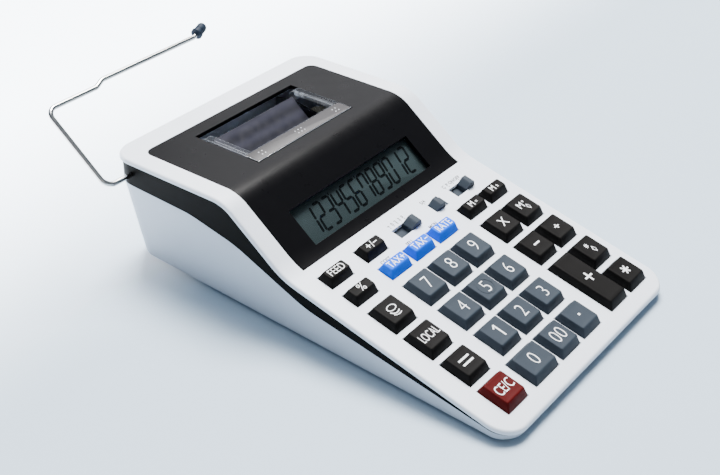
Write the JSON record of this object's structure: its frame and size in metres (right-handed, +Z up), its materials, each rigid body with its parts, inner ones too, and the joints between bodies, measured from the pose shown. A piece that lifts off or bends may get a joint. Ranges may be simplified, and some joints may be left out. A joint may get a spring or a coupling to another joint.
{
  "type": "desk calculator",
  "caption": "Wedge-shaped printing desk calculator: white cover with sprung keys, dark panel with a tilted display, clear tear bar, paper-roll arm and a printer inside.",
  "frame": {"origin": "middle of the case's plan, on the table plane that the rubber feet stand on", "axes": "+Z up from the table, +Y from the front of the keypad to the printer at the rear, +X to the user's right"},
  "size_m": [0.1548, 0.2522, 0.0793],
  "materials": {
    "digit_key": "satin slate plastic",
    "blue_key": "satin blue plastic",
    "function_key": "satin near-black plastic",
    "clear_key": "satin dark red plastic",
    "switch_knob": "satin slate plastic",
    "white_case": "fine satin moulded plastic",
    "dark_panel": "satin charcoal plastic",
    "clear_window": "clear acrylic",
    "lcd": "dark grey-green display glass",
    "black_band": "satin black plastic",
    "cell_sleeve": "printed foil sleeve",
    "contact_metal": "nickel plated",
    "jack_plastic": "moulded",
    "foot_rubber": "matt rubber",
    "screw_steel": "zinc plated",
    "circuit_board": "solder resist",
    "mat_rubber": "silicone rubber",
    "clear_bar": "clear polycarbonate with bright edges",
    "guide_plastic": "satin dark violet-grey plastic",
    "frame_steel": "pressed sheet steel",
    "roller_rubber": "ground rubber",
    "drum_plastic": "moulded type wheels",
    "ink_felt": "ink-soaked felt",
    "motor_can": "drawn steel can",
    "pinion_brass": "cut brass",
    "gear_plastic": "natural acetal",
    "arm_wire": "bright nickel-plated steel wire",
    "cap_rubber": "blue-grey rubber"
  },
  "bodies": {
    "case": {"top_cover": "white_case", "display_panel": "dark_panel", "display_window": "clear_window", "lcd_glass": "lcd", "mid_frame": "black_band", "bottom_housing": "white_case", "batteries": "cell_sleeve", "battery_contacts": "contact_metal", "power_jack": "jack_plastic", "feet": "foot_rubber", "case_screws": "screw_steel", "main_board": "circuit_board", "key_mat": "mat_rubber", "switch_bodies": "jack_plastic", "paper_guide": "guide_plastic", "printer_frame": "frame_steel", "printer_motor": "motor_can"},
    "key_7": {"key_7": "digit_key"},
    "key_8": {"key_8": "digit_key"},
    "key_9": {"key_9": "digit_key"},
    "key_4": {"key_4": "digit_key"},
    "key_5": {"key_5": "digit_key"},
    "key_6": {"key_6": "digit_key"},
    "key_1": {"key_1": "digit_key"},
    "key_2": {"key_2": "digit_key"},
    "key_3": {"key_3": "digit_key"},
    "key_0": {"key_0": "digit_key"},
    "key_00": {"key_00": "digit_key"},
    "key_point": {"key_point": "digit_key"},
    "key_tax_plus": {"key_tax_plus": "blue_key"},
    "key_tax_minus": {"key_tax_minus": "blue_key"},
    "key_rate": {"key_rate": "blue_key"},
    "key_feed": {"key_feed": "function_key"},
    "key_sign": {"key_sign": "function_key"},
    "key_percent": {"key_percent": "function_key"},
    "key_memory_total": {"key_memory_total": "function_key"},
    "key_memory_plus_minus": {"key_memory_plus_minus": "function_key"},
    "key_exchange": {"key_exchange": "function_key"},
    "key_multiply": {"key_multiply": "function_key"},
    "key_memory_diamond": {"key_memory_diamond": "function_key"},
    "key_local": {"key_local": "function_key"},
    "key_minus": {"key_minus": "function_key"},
    "key_divide": {"key_divide": "function_key"},
    "key_equals": {"key_equals": "function_key"},
    "key_plus": {"key_plus": "function_key"},
    "key_subtotal": {"key_subtotal": "function_key"},
    "key_total": {"key_total": "function_key"},
    "key_clear": {"key_clear": "clear_key"},
    "decimal_switch": {"decimal_switch": "switch_knob"},
    "rounding_switch": {"rounding_switch": "switch_knob"},
    "power_switch": {"power_switch": "switch_knob"},
    "tear_bar": {"tear_bar": "clear_bar"},
    "paper_arm": {"paper_arm": "arm_wire", "arm_cap": "cap_rubber"},
    "battery_door": {"battery_door": "white_case"},
    "print_drum": {"print_drum": "drum_plastic", "drive_gear": "gear_plastic"},
    "feed_roller": {"feed_roller": "roller_rubber"},
    "ink_roller": {"ink_roller": "ink_felt"},
    "motor_pinion": {"motor_pinion": "pinion_brass"}
  },
  "joints": [
    {"name": "key_7_press", "type": "slide", "parent": "case", "child": "key_7", "axis": [0, 0.2147, -0.9767], "range_m": [0, 0.0016], "stiffness_N_per_m": 300, "springref_m": -0.0008},
    {"name": "key_8_press", "type": "slide", "parent": "case", "child": "key_8", "axis": [0, 0.2147, -0.9767], "range_m": [0, 0.0016], "stiffness_N_per_m": 300, "springref_m": -0.0008},
    {"name": "key_9_press", "type": "slide", "parent": "case", "child": "key_9", "axis": [0, 0.2147, -0.9767], "range_m": [0, 0.0016], "stiffness_N_per_m": 300, "springref_m": -0.0008},
    {"name": "key_4_press", "type": "slide", "parent": "case", "child": "key_4", "axis": [0, 0.2147, -0.9767], "range_m": [0, 0.0016], "stiffness_N_per_m": 300, "springref_m": -0.0008},
    {"name": "key_5_press", "type": "slide", "parent": "case", "child": "key_5", "axis": [0, 0.2147, -0.9767], "range_m": [0, 0.0016], "stiffness_N_per_m": 300, "springref_m": -0.0008},
    {"name": "key_6_press", "type": "slide", "parent": "case", "child": "key_6", "axis": [0, 0.2147, -0.9767], "range_m": [0, 0.0016], "stiffness_N_per_m": 300, "springref_m": -0.0008},
    {"name": "key_1_press", "type": "slide", "parent": "case", "child": "key_1", "axis": [0, 0.2147, -0.9767], "range_m": [0, 0.0016], "stiffness_N_per_m": 300, "springref_m": -0.0008},
    {"name": "key_2_press", "type": "slide", "parent": "case", "child": "key_2", "axis": [0, 0.2147, -0.9767], "range_m": [0, 0.0016], "stiffness_N_per_m": 300, "springref_m": -0.0008},
    {"name": "key_3_press", "type": "slide", "parent": "case", "child": "key_3", "axis": [0, 0.2147, -0.9767], "range_m": [0, 0.0016], "stiffness_N_per_m": 300, "springref_m": -0.0008},
    {"name": "key_0_press", "type": "slide", "parent": "case", "child": "key_0", "axis": [0, 0.2147, -0.9767], "range_m": [0, 0.0016], "stiffness_N_per_m": 300, "springref_m": -0.0008},
    {"name": "key_00_press", "type": "slide", "parent": "case", "child": "key_00", "axis": [0, 0.2147, -0.9767], "range_m": [0, 0.0016], "stiffness_N_per_m": 300, "springref_m": -0.0008},
    {"name": "key_point_press", "type": "slide", "parent": "case", "child": "key_point", "axis": [0, 0.2147, -0.9767], "range_m": [0, 0.0016], "stiffness_N_per_m": 300, "springref_m": -0.0008},
    {"name": "key_tax_plus_press", "type": "slide", "parent": "case", "child": "key_tax_plus", "axis": [0, 0.2147, -0.9767], "range_m": [0, 0.0016], "stiffness_N_per_m": 300, "springref_m": -0.0008},
    {"name": "key_tax_minus_press", "type": "slide", "parent": "case", "child": "key_tax_minus", "axis": [0, 0.2147, -0.9767], "range_m": [0, 0.0016], "stiffness_N_per_m": 300, "springref_m": -0.0008},
    {"name": "key_rate_press", "type": "slide", "parent": "case", "child": "key_rate", "axis": [0, 0.2147, -0.9767], "range_m": [0, 0.0016], "stiffness_N_per_m": 300, "springref_m": -0.0008},
    {"name": "key_feed_press", "type": "slide", "parent": "case", "child": "key_feed", "axis": [0, 0.2147, -0.9767], "range_m": [0, 0.0016], "stiffness_N_per_m": 300, "springref_m": -0.0008},
    {"name": "key_sign_press", "type": "slide", "parent": "case", "child": "key_sign", "axis": [0, 0.2147, -0.9767], "range_m": [0, 0.0016], "stiffness_N_per_m": 300, "springref_m": -0.0008},
    {"name": "key_percent_press", "type": "slide", "parent": "case", "child": "key_percent", "axis": [0, 0.2147, -0.9767], "range_m": [0, 0.0016], "stiffness_N_per_m": 300, "springref_m": -0.0008},
    {"name": "key_memory_total_press", "type": "slide", "parent": "case", "child": "key_memory_total", "axis": [0, 0.2147, -0.9767], "range_m": [0, 0.0016], "stiffness_N_per_m": 300, "springref_m": -0.0008},
    {"name": "key_memory_plus_minus_press", "type": "slide", "parent": "case", "child": "key_memory_plus_minus", "axis": [0, 0.2147, -0.9767], "range_m": [0, 0.0016], "stiffness_N_per_m": 300, "springref_m": -0.0008},
    {"name": "key_exchange_press", "type": "slide", "parent": "case", "child": "key_exchange", "axis": [0, 0.2147, -0.9767], "range_m": [0, 0.0016], "stiffness_N_per_m": 300, "springref_m": -0.0008},
    {"name": "key_multiply_press", "type": "slide", "parent": "case", "child": "key_multiply", "axis": [0, 0.2147, -0.9767], "range_m": [0, 0.0016], "stiffness_N_per_m": 300, "springref_m": -0.0008},
    {"name": "key_memory_diamond_press", "type": "slide", "parent": "case", "child": "key_memory_diamond", "axis": [0, 0.2147, -0.9767], "range_m": [0, 0.0016], "stiffness_N_per_m": 300, "springref_m": -0.0008},
    {"name": "key_local_press", "type": "slide", "parent": "case", "child": "key_local", "axis": [0, 0.2147, -0.9767], "range_m": [0, 0.0016], "stiffness_N_per_m": 300, "springref_m": -0.0008},
    {"name": "key_minus_press", "type": "slide", "parent": "case", "child": "key_minus", "axis": [0, 0.2147, -0.9767], "range_m": [0, 0.0016], "stiffness_N_per_m": 300, "springref_m": -0.0008},
    {"name": "key_divide_press", "type": "slide", "parent": "case", "child": "key_divide", "axis": [0, 0.2147, -0.9767], "range_m": [0, 0.0016], "stiffness_N_per_m": 300, "springref_m": -0.0008},
    {"name": "key_equals_press", "type": "slide", "parent": "case", "child": "key_equals", "axis": [0, 0.2147, -0.9767], "range_m": [0, 0.0016], "stiffness_N_per_m": 300, "springref_m": -0.0008},
    {"name": "key_plus_press", "type": "slide", "parent": "case", "child": "key_plus", "axis": [0, 0.2147, -0.9767], "range_m": [0, 0.0016], "stiffness_N_per_m": 300, "springref_m": -0.0008},
    {"name": "key_subtotal_press", "type": "slide", "parent": "case", "child": "key_subtotal", "axis": [0, 0.2147, -0.9767], "range_m": [0, 0.0016], "stiffness_N_per_m": 300, "springref_m": -0.0008},
    {"name": "key_total_press", "type": "slide", "parent": "case", "child": "key_total", "axis": [0, 0.2147, -0.9767], "range_m": [0, 0.0016], "stiffness_N_per_m": 300, "springref_m": -0.0008},
    {"name": "key_clear_press", "type": "slide", "parent": "case", "child": "key_clear", "axis": [0, 0.2147, -0.9767], "range_m": [0, 0.0016], "stiffness_N_per_m": 300, "springref_m": -0.0008},
    {"name": "decimal_slide", "type": "slide", "parent": "case", "child": "decimal_switch", "axis": [1, 0, 0], "range_m": [-0.008, 0]},
    {"name": "rounding_slide", "type": "slide", "parent": "case", "child": "rounding_switch", "axis": [1, 0, 0], "range_m": [0, 0.0024]},
    {"name": "power_slide", "type": "slide", "parent": "case", "child": "power_switch", "axis": [1, 0, 0], "range_m": [-0.0072, 0]},
    {"name": "tear_bar_lift", "type": "hinge", "parent": "case", "child": "tear_bar", "pos_m": [0, 0.08455, 0.05266], "axis": [-1, 0, 0], "range_deg": [0, 75]},
    {"name": "paper_arm_swing", "type": "hinge", "parent": "case", "child": "paper_arm", "pos_m": [-0.07, 0.098, 0.0472], "axis": [1, 0, 0], "range_deg": [-90, 60]},
    {"name": "battery_door_slide", "type": "slide", "parent": "case", "child": "battery_door", "axis": [0, 1, 0], "range_m": [0, 0.009]},
    {"name": "drum_spin", "type": "hinge", "parent": "case", "child": "print_drum", "pos_m": [0, 0.073, 0.033], "axis": [1, 0, 0], "continuous": true},
    {"name": "feed_spin", "type": "hinge", "parent": "case", "child": "feed_roller", "pos_m": [0, 0.08832, 0.02586], "axis": [1, 0, 0], "continuous": true},
    {"name": "ink_spin", "type": "hinge", "parent": "case", "child": "ink_roller", "pos_m": [0, 0.08449, 0.04046], "axis": [1, 0, 0], "continuous": true},
    {"name": "motor_spin", "type": "hinge", "parent": "case", "child": "motor_pinion", "pos_m": [0, 0.062, 0.0218], "axis": [1, 0, 0], "continuous": true}
  ],
  "couplings": [
    {"joint": "motor_spin", "follows": "drum_spin", "ratio": -3.3333},
    {"joint": "feed_spin", "follows": "drum_spin", "ratio": -2.5},
    {"joint": "ink_spin", "follows": "drum_spin", "ratio": -1.1667}
  ]
}
